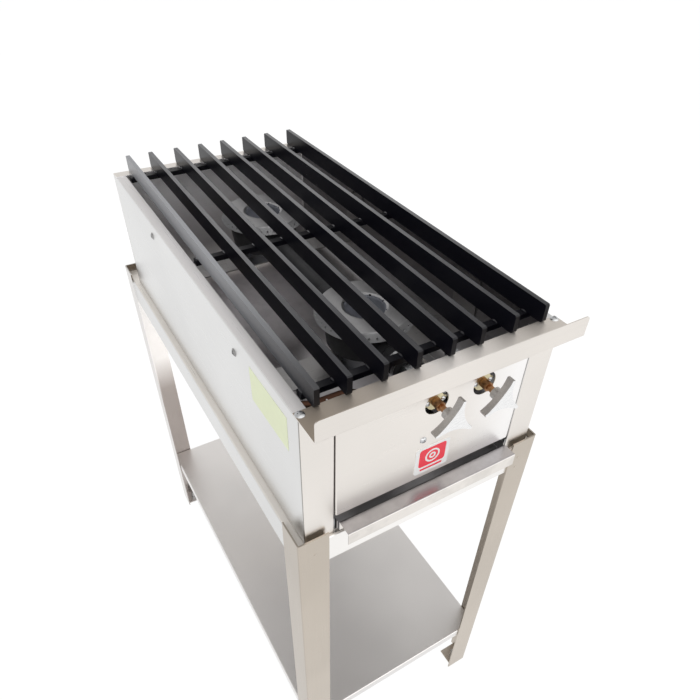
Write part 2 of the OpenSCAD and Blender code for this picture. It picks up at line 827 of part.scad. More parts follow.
// Cast bowl: round trough with an open middle, two feet and a socket for the mixing tube
module burner_bowl(y) {
    hole_floor = cap_hole_r - 2;
    translate([burner_x, y, 0]) difference() {
        union() {
            translate([0, 0, bowl_z]) rotate_extrude($fn = 96) difference() {
                polygon([[hole_floor, 0], [bowl_floor_r - bowl_chamfer, 0], [bowl_floor_r, bowl_chamfer],
                         [bowl_r, bowl_h], [cap_hole_r, bowl_h]]);
                polygon([[hole_floor + bowl_t, bowl_t], [bowl_floor_r - bowl_chamfer - bowl_t, bowl_t],
                         [bowl_floor_r - bowl_t, bowl_t + bowl_chamfer],
                         [bowl_r - bowl_t, bowl_h + 1], [cap_hole_r + bowl_t, bowl_h + 1]]);
            }
            for (s = [-1, 1]) translate([s * bowl_feet / 2, 0, support_top])
                cylinder(r = bowl_foot_r, h = bowl_foot_h + bowl_t);
            difference() {
                translate([0, 0, gas_z]) rod_y(socket_r, -socket_y, socket_l);
                translate([0, 0, bowl_z - 1]) cylinder(r = bowl_floor_r, h = bowl_h + 2, $fn = 96);
            }
        }
        translate([0, 0, gas_z]) rod_y(mixer_r + screw_gap, -socket_y - 1, tube_in + 1);
        translate([0, 0, gas_z]) rod_y(mixer_r - mixer_t, -socket_y - 1, socket_y - hole_floor - bowl_t - 2);
        for (s = [-1, 1]) translate([s * bowl_feet / 2, 0, support_top - 1])
            cylinder(r = screw_hole, h = 9);
    }
}

module burner_bowl_front() {
    color(iron) placed() burner_bowl(burner_front_y);
}

module burner_bowl_rear() {
    color(iron) placed() burner_bowl(burner_rear_y);
}

// The windows that let air into a mixing tube's mouth, cut right through
module air_window(y0) {
    width = 2 * (mouth_r + shutter_gap + shutter_t) + 2;
    translate([-width / 2, y0 + mixer_t + 2, -window_h / 2]) cube([width, mouth_l - 2 * mixer_t - 3, window_h]);
}
window_h = 12;
cone_l = 6;

// Mixing tube: mouth closed round the jet, with two air windows, tube up to the bowl's socket
module mixing_tube(y0, y1) {
    translate([burner_x, 0, gas_z]) difference() {
        union() {
            rod_y(mouth_r, y0, mouth_l);
            translate([0, y0 + mouth_l, 0]) rotate([-90, 0, 0]) cylinder(r1 = mouth_r, r2 = mixer_r, h = cone_l);
            rod_y(mixer_r, y0 + mouth_l, y1 - y0 - mouth_l);
        }
        rod_y(jet_r + jet_gap, y0 - 1, mixer_t + 2);
        rod_y(mouth_r - mixer_t, y0 + mixer_t, mouth_l - mixer_t);
        rod_y(mixer_r - mixer_t, y0 + mouth_l - 1, y1 - y0 - mouth_l + 2);
        air_window(y0);
    }
}

jet_hex_l = 10;
front_mouth_y = valve_back + jet_hex_l + 2;

module mixing_tube_front() {
    color(iron) placed() mixing_tube(front_mouth_y, burner_front_y - socket_y + tube_in);
}

module mixing_tube_rear() {
    color(iron) placed() mixing_tube(rear_mouth_y, burner_rear_y - socket_y + tube_in);
}

// Air shutter: sleeve with two windows that turns round the mouth, and a small tab
module air_shutter(y0) {
    inner = mouth_r + shutter_gap;
    outer = inner + shutter_t;
    translate([burner_x, 0, gas_z]) difference() {
        union() {
            rod_y(outer, y0, mouth_l - 0.5);
            translate([-shutter_t, y0, -outer - tab_h]) cube([2 * shutter_t, tab_l, tab_h + shutter_t]);
        }
        rod_y(inner, y0 - 1, mouth_l + 1.5);
        air_window(y0);
    }
}

tab_h = 7;
tab_l = 6;

module air_shutter_front() {
    color(zinc) placed() air_shutter(front_mouth_y);
}

module air_shutter_rear() {
    color(iron) placed() air_shutter(rear_mouth_y);
}

// Cap: ring with a level top, ports in the sloping shoulder outside and in the rounding inside
module burner_cap(y) {
    rim_z = bowl_z + bowl_h;
    band_z = cap_z - cap_band_h;
    top_r = cap_r - cap_band_in;
    port_z = cap_z - cap_band_h * 0.65;
    hole_t = cap_hole_r + cap_t;
    translate([burner_x, y, 0]) difference() {
        rotate_extrude($fn = 96) polygon([
            [cap_hole_r, rim_z],
            [cap_hole_r, cap_z - cap_round],
            [cap_hole_r + cap_round * 0.3, cap_z - cap_round * 0.3],
            [cap_hole_r + cap_round, cap_z],
            [top_r - cap_chamfer, cap_z],
            [top_r, cap_z - cap_chamfer / 2],
            [cap_r, band_z],
            [cap_r - 1, rim_z],
            [bowl_r - bowl_t, rim_z],
            [top_r - cap_t, cap_z - cap_t],
            [hole_t + cap_round, cap_z - cap_t],
            [hole_t, cap_z - cap_t - cap_round],
            [hole_t, rim_z]
        ]);
        for (i = [0 : outer_ports - 1]) rotate(i * 360 / outer_ports)
            translate([0, 0, port_z]) rod_x(port_r, bowl_r - bowl_t - 2, cap_r - bowl_r + bowl_t + 4);
        for (i = [0 : inner_ports - 1]) rotate(i * 360 / inner_ports)
            translate([cap_hole_r + cap_round * 0.3, 0, cap_z - cap_round * 0.3]) rotate([0, -45, 0])
                translate([0, 0, -cap_t - 4]) cylinder(r = port_r, h = cap_t + 6);
    }
}

module burner_cap_front() {
    color(bright) placed() burner_cap(burner_front_y);
}

module burner_cap_rear() {
    color(bright) placed() burner_cap(burner_rear_y);
}

// Gas train

module jet_front() {
    color(brass) placed() translate([burner_x, 0, gas_z]) {
        hex_y(nut_af, valve_back, jet_hex_l);
        rod_y(jet_r, valve_back + jet_hex_l, jet_l);
    }
}

jet_l = 9;

// Elbow with the rear burner's jet; its pipe comes in from the right
module jet_rear() {
    color(brass) placed() translate([burner_x, 0, gas_z]) {
        translate([-elbow_w / 2, elbow_y - elbow_w / 2, -elbow_w / 2]) cube(elbow_w);
        rod_y(jet_r, elbow_y + elbow_w / 2, rear_mouth_y + 7 - elbow_y - elbow_w / 2);
    }
}

// Manifold under the valves, with a boss to each valve and one for the supply pipe
module gas_manifold() {
    length = manifold_left + knob_pitch + manifold_right;
    color(zinc) placed() difference() {
        union() {
            translate([0, manifold_y, manifold_z]) rod_x(manifold_r, manifold_x0, length);
            for (i = [0, 1]) translate([valve_x + i * knob_pitch, manifold_y, manifold_z])
                cylinder(r = boss_r, h = boss_top - manifold_z);
            translate([inlet_x, 0, manifold_z]) rod_y(boss_r, manifold_y, manifold_nut_y - manifold_y);
        }
        translate([0, manifold_y, manifold_z])
            rod_x(manifold_r - 2 * pipe_wall, manifold_x0 + manifold_cap, length - 2 * manifold_cap);
    }
}

manifold_cap = 4;

// Bracket from the front panel under the manifold
module manifold_bracket() {
    bracket_o = bracket_t + fold_r;
    color(zinc) placed() difference() {
        along_x(bracket_x - bracket_w / 2, bracket_w)
            translate([manifold_y + manifold_r, bracket_top]) rotate(180)
                fold([[manifold_y + manifold_r - sheet_t - bracket_o, 1], [bracket_h - bracket_o, 0]],
                     bracket_t, fold_r);
        translate([bracket_x, 0, bracket_screw_z]) rod_y(screw_hole, sheet_t - 1, bracket_t + 2);
    }
}

// A quarter bend of pipe in the level plane, turning from heading -Y
module pipe_bend(r, bend, from) {
    rotate(from) rotate_extrude(angle = 90) translate([bend, 0]) circle(r = r, $fn = 32);
}

// Supply pipe: from the inlet along the left side, then across to the manifold's inlet
module supply_pipe() {
    end_y = supply_y - supply_bend_front;
    color(copper) placed() translate([0, 0, manifold_z]) {
        translate([supply_wall_x, 0, 0])
            rod_y(supply_r, supply_y + supply_bend, body_d - inlet_tail - supply_y - supply_bend);
        translate([supply_wall_x + supply_bend, supply_y + supply_bend, 0]) pipe_bend(supply_r, supply_bend, 180);
        translate([0, supply_y, 0])
            rod_x(supply_r, supply_wall_x + supply_bend,
                  inlet_x - supply_bend_front - supply_wall_x - supply_bend);
        translate([inlet_x - supply_bend_front, end_y, 0]) pipe_bend(supply_r, supply_bend_front, 0);
        translate([inlet_x, 0, 0]) rod_y(supply_r, manifold_nut_y, end_y - manifold_nut_y);
    }
}
inlet_tail = 30;
manifold_nut_y = manifold_y + manifold_r + 3;

// Clip round the supply pipe, on a foot against the side
module pipe_clip() {
    clip_t = 3;
    clip_h = 30;
    clip_r = supply_r + clip_t;
    color(brass) placed() difference() {
        union() {
            translate([supply_wall_x, 0, manifold_z]) rod_y(clip_r, clip_y, clip_w);
            translate([-side_x + sheet_t, clip_y, manifold_z - clip_r])
                cube([supply_x - sheet_t, clip_w, clip_t]);
            translate([-side_x + sheet_t, clip_y, manifold_z - clip_r]) cube([clip_t, clip_w, clip_h]);
        }
        translate([supply_wall_x, 0, manifold_z]) rod_y(supply_r + screw_gap, clip_y - 1, clip_w + 2);
    }
}

// Gas inlet through the back: thread, hexagon and hose spigot
module gas_inlet() {
    hex_l = 9;
    color(brass) placed() translate([supply_wall_x, 0, manifold_z]) {
        rod_y(inlet_thread_r, body_d - inlet_tail, inlet_tail);
        hex_y(inlet_af, body_d, hex_l);
        rod_y(spigot_r, body_d + hex_l, spigot_l);
    }
}

module inlet_locknut() {
    nut_h = 6;
    color(brass) placed() translate([supply_wall_x, 0, manifold_z]) difference() {
        hex_y(inlet_af + 2, body_d - sheet_t - nut_h, nut_h);
        rod_y(inlet_thread_r + screw_gap, body_d - sheet_t - nut_h - 1, nut_h + 2);
    }
}

feed_x = burner_x + knob_pitch;

// Pipe from the right valve back along the front burner to the rear burner's jet
module rear_feed_pipe() {
    color(copper) placed() translate([0, 0, gas_z]) {
        translate([feed_x, 0, 0]) rod_y(feed_r, valve_back, elbow_y - feed_bend - valve_back);
        translate([feed_x - feed_bend, elbow_y - feed_bend, 0]) pipe_bend(feed_r, feed_bend, 0);
        translate([0, elbow_y, 0])
            rod_x(feed_r, burner_x + elbow_w / 2, feed_x - feed_bend - burner_x - elbow_w / 2);
    }
}

// Hexagonal nut round a pipe, along Y
module pipe_nut(r, y0) {
    difference() {
        hex_y(nut_af, y0, nut_l);
        rod_y(r + screw_gap, y0 - 1, nut_l + 2);
    }
}

module pipe_nuts() {
    color(zinc) placed() {
        translate([inlet_x, 0, manifold_z]) pipe_nut(supply_r, manifold_nut_y);
        translate([feed_x, 0, gas_z]) pipe_nut(feed_r, valve_back);
        translate([burner_x + elbow_w / 2, elbow_y, gas_z]) rotate(-90) pipe_nut(feed_r, 0);
    }
}

// Valve: front plate, body round the spindle, offset outlet and the inlet from the manifold
module valve(i) {
    half = bonnet_screws / 2;
    color(brass) placed() translate([valve_x + i * knob_pitch, 0, spindle_z]) difference() {
        union() {
            rod_y(valve_r + 1, valve_front, bonnet_t);
            for (s = [-1, 1]) translate([s * half, 0, 0]) rod_y(bonnet_ear_r, valve_front, bonnet_t);
            rod_y(valve_r, valve_front, valve_l);
            translate([outlet_dx, 0, -outlet_dz]) rod_y(outlet_r, outlet_y, valve_back - outlet_y);
            translate([0, manifold_y, boss_top - spindle_z]) cylinder(r = boss_r, h = spindle_z - boss_top);
        }
        rod_y(stem_r + stem_gap, valve_front - 1, stem_in + 1 + end_gap);
        for (s = [-1, 1]) translate([s * half, 0, 0])
            rod_y(bonnet_screw_r + screw_gap, valve_front - 1, bonnet_screw_l + 2);
    }
}
bonnet_ear_r = 4.6;
bonnet_screw_r = 1.4;
bonnet_screw_l = 6;
valve_l = 44;
outlet_y = valve_front + 30;

module valve_left() {
    valve(0);
}

module valve_right() {
    valve(1);
}

// Spindle: round shaft in the valve, collar in front of the plate, flatted end in the knob
module spindle(i) {
    stem_end = -knob_front + knob_t - knob_socket;
    collar_y = valve_front - end_gap - collar_l;
    color(brass) placed() translate([valve_x + i * knob_pitch, 0, spindle_z]) difference() {
        union() {
            rod_y(stem_r, stem_end, stem_back - stem_end);
            rod_y(collar_r, collar_y, collar_l);
        }
        translate([-stem_r, stem_end - 1, stem_r - stem_flat]) cube([2 * stem_r, collar_y - stem_end, 2 * stem_flat]);
    }
}

knob_socket = 4;
end_gap = 0.3;

module spindle_left() {
    spindle(0);
}

module spindle_right() {
    spindle(1);
}

// Knob: three-pointed plate with hollow sides and a dished face, and a hub behind it
module knob(i) {
    back = -knob_front + knob_t;
    color(cast_aluminium) placed() translate([valve_x + i * knob_pitch, 0, spindle_z]) difference() {
        union() {
            along_y(-knob_front, knob_t) difference() {
                circle(r = knob_r);
                for (k = [0 : 2]) rotate(tip_angle + 60 + k * 120)
                    translate([knob_waist + knob_hollow_r, 0]) circle(r = knob_hollow_r, $fn = 96);
            }
            rod_y(hub_r, back, hub_l);
        }
        translate([0, -knob_front - dish_r + dish_depth, 0]) rotate([-90, 0, 0]) rotate_extrude()
            intersection() {
                circle(r = dish_r, $fn = 720);
                translate([0, dish_r - dish_cut]) square([knob_r + 2, dish_cut + 1]);
            }
        rod_y(stem_r + stem_gap, back - knob_socket - end_gap, hub_l + knob_socket + end_gap + 1);
    }
}
dish_depth = 1.2;
dish_cut = 3;

module knob_left() {
    knob(0);
}

module knob_right() {
    knob(1);
}

// Grate

// Bar on edge, its upper corners cut and its lower ones rounded
module grate_bar(i) {
    if (i < bars) color(iron) placed()
        translate([bar_x(i), bar_y0 + bar_l / 2]) rotate(-asin(bar_leans[i] / bar_l))
            along_x(-bar_t / 2, bar_t) translate([-bar_l / 2, bar_z]) union() {
                polygon([[0, bar_round], [bar_l, bar_round],
                         [bar_l, bar_h - bar_chamfer], [bar_l - bar_chamfer, bar_h],
                         [bar_chamfer, bar_h], [0, bar_h - bar_chamfer]]);
                translate([bar_round, 0]) square([bar_l - 2 * bar_round, bar_round + 1]);
                for (y = [bar_round, bar_l - bar_round]) translate([y, bar_round]) circle(r = bar_round);
            }
}

// Three cross bars welded under the bars, between the sides' flanges
module grate_cross_bars() {
    x0 = bar_x(0) - bar_t / 2 - cross_out;
    length = bar_x(bars - 1) + bar_t / 2 + cross_out - x0;
    color(iron) placed() for (y = [cross_front_y, body_d / 2 + cross_middle, body_d - cross_rear])
        translate([x0, y - cross_w / 2, bar_z - cross_h])
            cube([length, cross_w, cross_h]);
}

// Fasteners and plates

module valve_screws() {
    color(zinc) placed() for (i = [0, 1], s = [-1, 1])
        translate([valve_x + i * knob_pitch + s * bonnet_screws / 2, valve_front, spindle_z])
            rotate([90, 0, 0]) screw(bonnet_head_r, bonnet_head_h, bonnet_screw_r, bonnet_screw_l);
}

module side_screws() {
    color(zinc) placed() for (s = [-1, 1], p = support_screws)
        translate([s * side_x, p[0], p[1]]) rotate([0, s * 90, 0]) screw(screw_head_r, screw_head_h, screw_r, screw_l);
}

module ledge_screws() {
    color(zinc) placed() for (s = [-1, 1])
        translate([s * (side_x - ledge_screw_inset), ledge_screw_y, top_z + sheet_t])
            screw(screw_head_r, screw_head_h, screw_r, screw_l);
}

// The screw through the panel into the bracket, and one through each runner into its strip
module panel_screws() {
    color(zinc) placed() {
        translate([bracket_x, 0, bracket_screw_z]) rotate([90, 0, 0]) screw(panel_head_r, panel_head_h, screw_r, screw_l);
        for (s = [-1, 1]) translate([s * (strip_x - sheet_t), jamb_screw_y, jamb_screw_z])
            rotate([0, -s * 90, 0]) screw(jamb_head_r, jamb_head_h, screw_r, jamb_screw_l);
    }
}

module bowl_bolts() {
    color(zinc) placed() for (y = [burner_front_y, burner_rear_y], s = [-1, 1])
        translate([burner_x + s * bowl_feet / 2, y, support_top - support_t])
            rotate([180, 0, 0]) screw(bolt_head_r, bolt_head_h, screw_r, bolt_l);
}

module badge_plate() {
    corner = 4;
    color("white") placed() along_y(-badge_t, badge_t)
        translate([badge_x - badge_w / 2, rail_top + badge_z - badge_h / 2]) {
            translate([corner, 0]) square([badge_w - 2 * corner, badge_h]);
            translate([0, corner]) square([badge_w, badge_h - 2 * corner]);
            for (x = [corner, badge_w - corner], z = [corner, badge_h - corner])
                translate([x, z]) circle(r = corner);
        }
}

module side_label() {
    color("khaki") placed() translate([-side_x - label_t, label_y, top_z - label_drop - label_h])
        cube([label_t, label_l, label_h]);
}

leg_front_left();
leg_front_right();
leg_rear_left();
leg_rear_right();
rail_front();
rail_rear();
rail_left();
rail_right();
shelf();
levelling_feet();
side_panel_left();
side_panel_right();
back_panel();
front_panel();
front_ledge();
tray_runner_left();
tray_runner_right();
drip_tray();
burner_support_front();
burner_support_rear();
burner_bowl_front();
burner_bowl_rear();
mixing_tube_front();
mixing_tube_rear();
burner_cap_front();
burner_cap_rear();
air_shutter_front();
air_shutter_rear();
jet_front();
jet_rear();
gas_manifold();
manifold_bracket();
supply_pipe();
pipe_clip();
gas_inlet();
inlet_locknut();
rear_feed_pipe();
pipe_nuts();
valve_left();
valve_right();
spindle_left();
spindle_right();
knob_left();
knob_right();
grate_bar(0);  // grate_bar_1
grate_bar(1);  // grate_bar_2
grate_bar(2);  // grate_bar_3
grate_bar(3);  // grate_bar_4
grate_bar(4);  // grate_bar_5
grate_bar(5);  // grate_bar_6
grate_bar(6);  // grate_bar_7
grate_bar(7);  // grate_bar_8
grate_cross_bars();
valve_screws();
side_screws();
ledge_screws();
panel_screws();
bowl_bolts();
badge_plate();
side_label();
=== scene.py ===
"""Two-burner gas stove on its stand: materials, small pieces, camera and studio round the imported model."""

import json
import math
import random

import bmesh
import bpy
from mathutils import Matrix, Vector


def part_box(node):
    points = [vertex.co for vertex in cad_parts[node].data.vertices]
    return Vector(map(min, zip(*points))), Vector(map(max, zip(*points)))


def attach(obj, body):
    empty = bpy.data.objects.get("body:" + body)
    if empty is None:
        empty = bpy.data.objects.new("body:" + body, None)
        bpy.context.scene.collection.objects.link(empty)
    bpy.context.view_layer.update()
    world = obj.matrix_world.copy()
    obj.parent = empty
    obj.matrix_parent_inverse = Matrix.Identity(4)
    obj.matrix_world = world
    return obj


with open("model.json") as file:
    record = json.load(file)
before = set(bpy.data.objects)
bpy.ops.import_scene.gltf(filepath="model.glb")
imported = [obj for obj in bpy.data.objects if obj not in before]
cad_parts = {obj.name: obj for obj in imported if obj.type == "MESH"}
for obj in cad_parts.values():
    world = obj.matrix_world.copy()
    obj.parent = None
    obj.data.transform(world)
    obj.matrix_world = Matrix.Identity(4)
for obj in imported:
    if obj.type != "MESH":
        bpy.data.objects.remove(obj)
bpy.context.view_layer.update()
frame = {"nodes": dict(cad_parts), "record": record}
record = frame["record"]
nodes = frame["nodes"]

MM = 0.001
Y_MID = 345.5  # millimetres from the body's front to the middle of the footprint


def place(x, y, z):
    """A point given in millimetres from the middle of the body's front, on the floor."""
    return Vector((x, y - Y_MID, z)) * MM


def middle(node):
    low, high = (Vector(corner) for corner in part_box(node))
    return (low + high) / 2


# Materials

def new_material(name):
    material = bpy.data.materials.new(name)
    material.use_nodes = True
    tree = material.node_tree
    tree.nodes.clear()
    output = tree.nodes.new("ShaderNodeOutputMaterial")
    shader = tree.nodes.new("ShaderNodeBsdfPrincipled")
    tree.links.new(shader.outputs["BSDF"], output.inputs["Surface"])
    return material, tree, shader


def add(tree, kind, **inputs):
    """Adds a shader node; a value is set on the input of that name and a socket is linked to it."""
    node = tree.nodes.new("ShaderNode" + kind)
    for name, value in inputs.items():
        key = int(name[1:]) if name[1:].isdigit() else name.replace("_", " ")
        feed(tree, value, node.inputs[key])
    return node


def feed(tree, value, socket):
    if isinstance(value, bpy.types.NodeSocket):
        tree.links.new(value, socket)
    else:
        socket.default_value = value


def where(tree, scale=(1, 1, 1), offset=(0, 0, 0)):
    """The point on the object, stretched by scale."""
    coords = add(tree, "TexCoord")
    mapping = add(tree, "Mapping", Vector=coords.outputs["Object"], Scale=scale, Location=offset)
    return mapping.outputs["Vector"]


def noise(tree, scale=(1, 1, 1), detail=3.0, roughness=0.55, offset=(0, 0, 0)):
    node = add(tree, "TexNoise", Vector=where(tree, scale, offset), Scale=1.0, Detail=detail,
               Roughness=roughness)
    return node.outputs["Fac"]


def between(tree, factor, low, high, start=0.0, end=1.0):
    """Maps factor from start..end to low..high."""
    node = add(tree, "MapRange", Value=factor)
    for name, value in (("From Min", start), ("From Max", end), ("To Min", low), ("To Max", high)):
        node.inputs[name].default_value = value
    return node.outputs["Result"]


def blend(tree, factor, low, high, mode="MIX"):
    """Mixes two colours, each given as a colour or a socket."""
    node = tree.nodes.new("ShaderNodeMix")
    node.data_type = "RGBA"
    node.blend_type = mode
    feed(tree, factor, node.inputs[0])
    for value, socket in ((low, node.inputs[6]), (high, node.inputs[7])):
        feed(tree, value if isinstance(value, bpy.types.NodeSocket) else (*value, 1.0), socket)
    return node.outputs[2]


def math_node(tree, operation, first, second=0.0):
    node = add(tree, "Math", _0=first, _1=second)
    node.operation = operation
    return node.outputs[0]


def times(tree, first, second):
    return math_node(tree, "MULTIPLY", first, second)


def bump(tree, height, strength, distance):
    return add(tree, "Bump", Height=height, Strength=strength, Distance=distance).outputs["Normal"]


def facing(tree, axis):
    """How much the surface faces an axis: 1 along it, -1 against it."""
    normal = add(tree, "NewGeometry").outputs["Normal"]
    split = add(tree, "SeparateXYZ", Vector=normal)
    return split.outputs["XYZ".index(axis)]


def faces(tree, axis, start, end):
    """Runs from 0 to 1 while the surface turns to an axis, from one facing to another."""
    return between(tree, facing(tree, axis), 0, 1, start, end)


def position(tree):
    """The point on the object, as one socket for each axis."""
    return add(tree, "SeparateXYZ", Vector=where(tree)).outputs


def shade(colour, amount):
    return tuple(min(1.0, channel * amount) for channel in colour)


NOISE_LOW, NOISE_HIGH = 0.3, 0.7  # a noise mostly stays between these


def spread(tree, pattern, low=0, high=1):
    """Maps a noise's usual range to low..high."""
    return between(tree, pattern, low, high, NOISE_LOW, NOISE_HIGH)


def uneven(tree, pattern, colour, low, high):
    """A colour that a noise makes darker, down to low, and lighter, up to high."""
    return blend(tree, spread(tree, pattern), shade(colour, low), shade(colour, high))


def tone_run(tree, tone):
    """A colour, or one that changes along an axis, given as the axis and (metres, colour) pairs."""
    if tone[0] not in ("X", "Y", "Z"):
        return tone
    axis, stops = tone
    reach = position(tree)[axis]
    run = stops[0][1]
    for (start, _), (end, colour) in zip(stops, stops[1:]):
        run = blend(tree, between(tree, reach, 0, 1, start, end), run, colour)
    return run


STRIP_BACK = -335 * MM  # y just behind the front strips
SEAM_REACH = 4 * MM  # how far up the painted shade beside a seam goes


def brushed_steel(name, colour, grain, roughness=0.30, streaks=0.02, clouds=0.06, level=None, front=None,
                  inner=None, corner=None, foot=None, stain=0.0, grit=1.0, matt=0.0):
    """Brushed sheet: fine streaks along the grain, soft handling marks and stains, with painted light and
    shade.

    level and front are painted-light tones where the sheet lies level or faces the front or back; inner names
    the axis, the sign and the painted-shade tone of the faces inside the body; corner is the x left of which
    a bend to the front gets a painted dark reflection, foot the height of the seam where a line of painted
    shade runs, grit how strongly the grain shows, and matt how dull the level and inner faces are.
    """
    material, tree, shader = new_material(name)
    fine = noise(tree, grain, detail=3.0, roughness=0.6)
    broad = noise(tree, (5.0,) * 3, detail=2.0)
    blots = noise(tree, (28.0,) * 3, detail=3.0, roughness=0.6, offset=(3.1, 1.7, 0.4))
    spot = position(tree)
    across, along = (math_node(tree, "ABSOLUTE", facing(tree, axis)) for axis in ("X", "Y"))
    sheet = uneven(tree, fine, colour, 1 - streaks, 1 + streaks)
    # painted light: faces turned to the front or back take a lighter, warmer tone
    if front:
        sheet = blend(tree, between(tree, along, 0, 1, 0.6, 0.8), sheet, tone_run(tree, front))
    dull = 0.0
    # painted light and shade: level faces take a tone of their own, which may change along an axis
    if level:
        dull = faces(tree, "Z", 0.6, 0.9)
        sheet = blend(tree, dull, sheet, tone_run(tree, level))
    # painted shade: faces inside the body take a darker tone, as if in shadow
    if inner:
        axis, sign, tone = inner
        within = faces(tree, axis, 0.5 * sign, 0.8 * sign)
        if axis == "X":  # the edges of the front strips are kept out of the painted shade
            within = times(tree, within, math_node(tree, "GREATER_THAN", spot["Y"], STRIP_BACK))
        sheet = blend(tree, within, sheet, tone_run(tree, tone))
        dull = math_node(tree, "MAXIMUM", within, dull)
    # painted reflection: the left side of the bend to the front is drawn darker, as a dark reflected line
    if corner:
        bend = between(tree, times(tree, across, along), 0, 1, 0.1, 0.25)
        turned = times(tree, bend, math_node(tree, "GREATER_THAN", across, along))
        there = times(tree, turned, math_node(tree, "LESS_THAN", spot["X"], corner))
        sheet = blend(tree, between(tree, there, 0, 0.8), sheet, PAINTED_DARK_LINE)
    # painted shade: a dark line along the seam where the sheet meets the rail
    if foot:
        seam = between(tree, spot["Z"], 1, 0, foot, foot + SEAM_REACH)
        sheet = blend(tree, between(tree, seam, 0, 0.75), sheet, PAINTED_DARK_LINE)
    smudge = times(tree, spread(tree, broad, 1 - clouds, 1 + clouds / 2),
                   between(tree, blots, 1 - stain, 1 + stain / 2, 0.38, 0.55))
    grey = add(tree, "CombineColor", Red=smudge, Green=smudge, Blue=smudge).outputs[0]
    feed(tree, blend(tree, 1.0, sheet, grey, "MULTIPLY"), shader.inputs["Base Color"])
    feed(tree, between(tree, dull, 1.0, 1.0 - matt) if matt else 1.0, shader.inputs["Metallic"])
    feed(tree, spread(tree, fine, roughness - 0.03 * grit, roughness + 0.05 * grit),
         shader.inputs["Roughness"])
    feed(tree, bump(tree, fine, 0.06 * grit, 0.02 * MM), shader.inputs["Normal"])
    return material


def distance_from(tree, centre):
    """Distance from the upright axis through a point, in metres."""
    split = add(tree, "SeparateXYZ", Vector=where(tree, offset=(-centre.x, -centre.y, 0))).outputs
    squares = [times(tree, split[axis], split[axis]) for axis in ("X", "Y")]
    return math_node(tree, "SQRT", math_node(tree, "ADD", *squares))


HOLE = 30 * MM  # radius of the painted pale sheen on the wall of a burner's middle hole
SHOULDER = 59.5 * MM  # radius at which a ring cap's shoulder starts


def cast_metal(name, colour, roughness, metallic, variation=0.25, centre=None):
    """Cast or plated metal with a fine uneven skin; near a burner's centre it is drawn pale, a painted sheen
    on the hole's wall.
    """
    material, tree, shader = new_material(name)
    skin = noise(tree, (400.0,) * 3, detail=5.0, roughness=0.65)
    patches = noise(tree, (35.0,) * 3, detail=3.0)
    toned = uneven(tree, patches, colour, 1 - variation, 1 + variation)
    if centre:
        # painted sheen: near the hole the iron is drawn pale blue-grey
        hole_sheen = between(tree, distance_from(tree, centre), 1, 0, HOLE, HOLE + 6 * MM)
        toned = blend(tree, hole_sheen, toned, HOLE_SHEEN)
    feed(tree, toned, shader.inputs["Base Color"])
    shader.inputs["Metallic"].default_value = metallic
    feed(tree, spread(tree, skin, roughness - 0.06, roughness + 0.1), shader.inputs["Roughness"])
    feed(tree, bump(tree, skin, 0.35, 0.1 * MM), shader.inputs["Normal"])
    return material


def turned_steel(name, colour, centre):
    """Turned ring: fine circles round the burner's axis, a painted pale sheen on the wall of its hole, a
    darker and duller shoulder.
    """
    material, tree, shader = new_material(name)
    radius = distance_from(tree, centre)
    outward = add(tree, "CombineXYZ", X=radius).outputs[0]
    rings = add(tree, "TexNoise", Vector=outward, Scale=900.0, Detail=3.0).outputs["Fac"]
    dust = noise(tree, (40.0,) * 3, detail=4.0)
    circles = uneven(tree, rings, colour, 0.9, 1.08)
    dusty = blend(tree, between(tree, dust, 0, 0.45, 0.5, 0.75), circles, shade(colour, 0.7))
    shoulder = between(tree, radius, 0, 1, SHOULDER, SHOULDER + 2 * MM)
    retoned = blend(tree, shoulder, dusty, shade(colour, 0.8))
    # painted sheen: the hole's wall is drawn pale and less metallic
    wall = times(tree, between(tree, radius, 1, 0, HOLE, HOLE + 3 * MM),
                 between(tree, facing(tree, "Z"), 1, 0, 0.5, 0.9))
    feed(tree, blend(tree, wall, retoned, HOLE_SHEEN), shader.inputs["Base Color"])
    feed(tree, between(tree, math_node(tree, "MAXIMUM", wall, shoulder), 1.0, 0.2), shader.inputs["Metallic"])
    feed(tree, spread(tree, rings, 0.32, 0.45), shader.inputs["Roughness"])
    feed(tree, bump(tree, rings, 0.2, 0.08 * MM), shader.inputs["Normal"])
    return material


def enamel_black(name, gloss, roughness, sheen_and_wear, painted_sheen=None):
    """Satin black coating: orange peel, upper faces greyed by painted sheen and some wear, more to the rear,
    and a few ashy specks.

    rubbed is the grey of those upper faces, partly wear and partly painted sheen; film is a painted sheen
    that greys all but the front end.
    """
    material, tree, shader = new_material(name)
    peel = noise(tree, (260.0,) * 3, detail=2.0)
    rub = noise(tree, (500.0, 30.0, 300.0), detail=4.0, roughness=0.7)
    upward = faces(tree, "Z", 0.55, 0.85)
    reach = position(tree)["Y"]
    # painted sheen with some wear: upward faces go grey in patches, more towards the rear
    retoned = times(tree, times(tree, upward, between(tree, rub, 0.75, 1.0, 0.35, 0.6)),
                 between(tree, reach, 0.28, 1.0, -0.30, 0.0))
    coat = blend(tree, retoned, (0.005, 0.005, 0.008), sheen_and_wear)
    # painted sheen: a grey reflection drawn over all but the front end
    if painted_sheen:
        coat = blend(tree, between(tree, reach, 0, 1, -0.33, -0.08), coat, painted_sheen)
    specks = add(tree, "TexVoronoi", Vector=where(tree, (90.0,) * 3), Scale=1.0)
    pick = add(tree, "SeparateColor", Color=specks.outputs["Color"]).outputs[0]
    dot = times(tree, math_node(tree, "LESS_THAN", specks.outputs["Distance"], 0.06),
                math_node(tree, "GREATER_THAN", pick, 0.93))
    feed(tree, blend(tree, dot, coat, (0.28, 0.28, 0.30)), shader.inputs["Base Color"])
    feed(tree, between(tree, upward, roughness, 0.4), shader.inputs["Roughness"])
    shader.inputs["Specular IOR Level"].default_value = gloss
    feed(tree, bump(tree, peel, 0.15, 0.2 * MM), shader.inputs["Normal"])
    return material


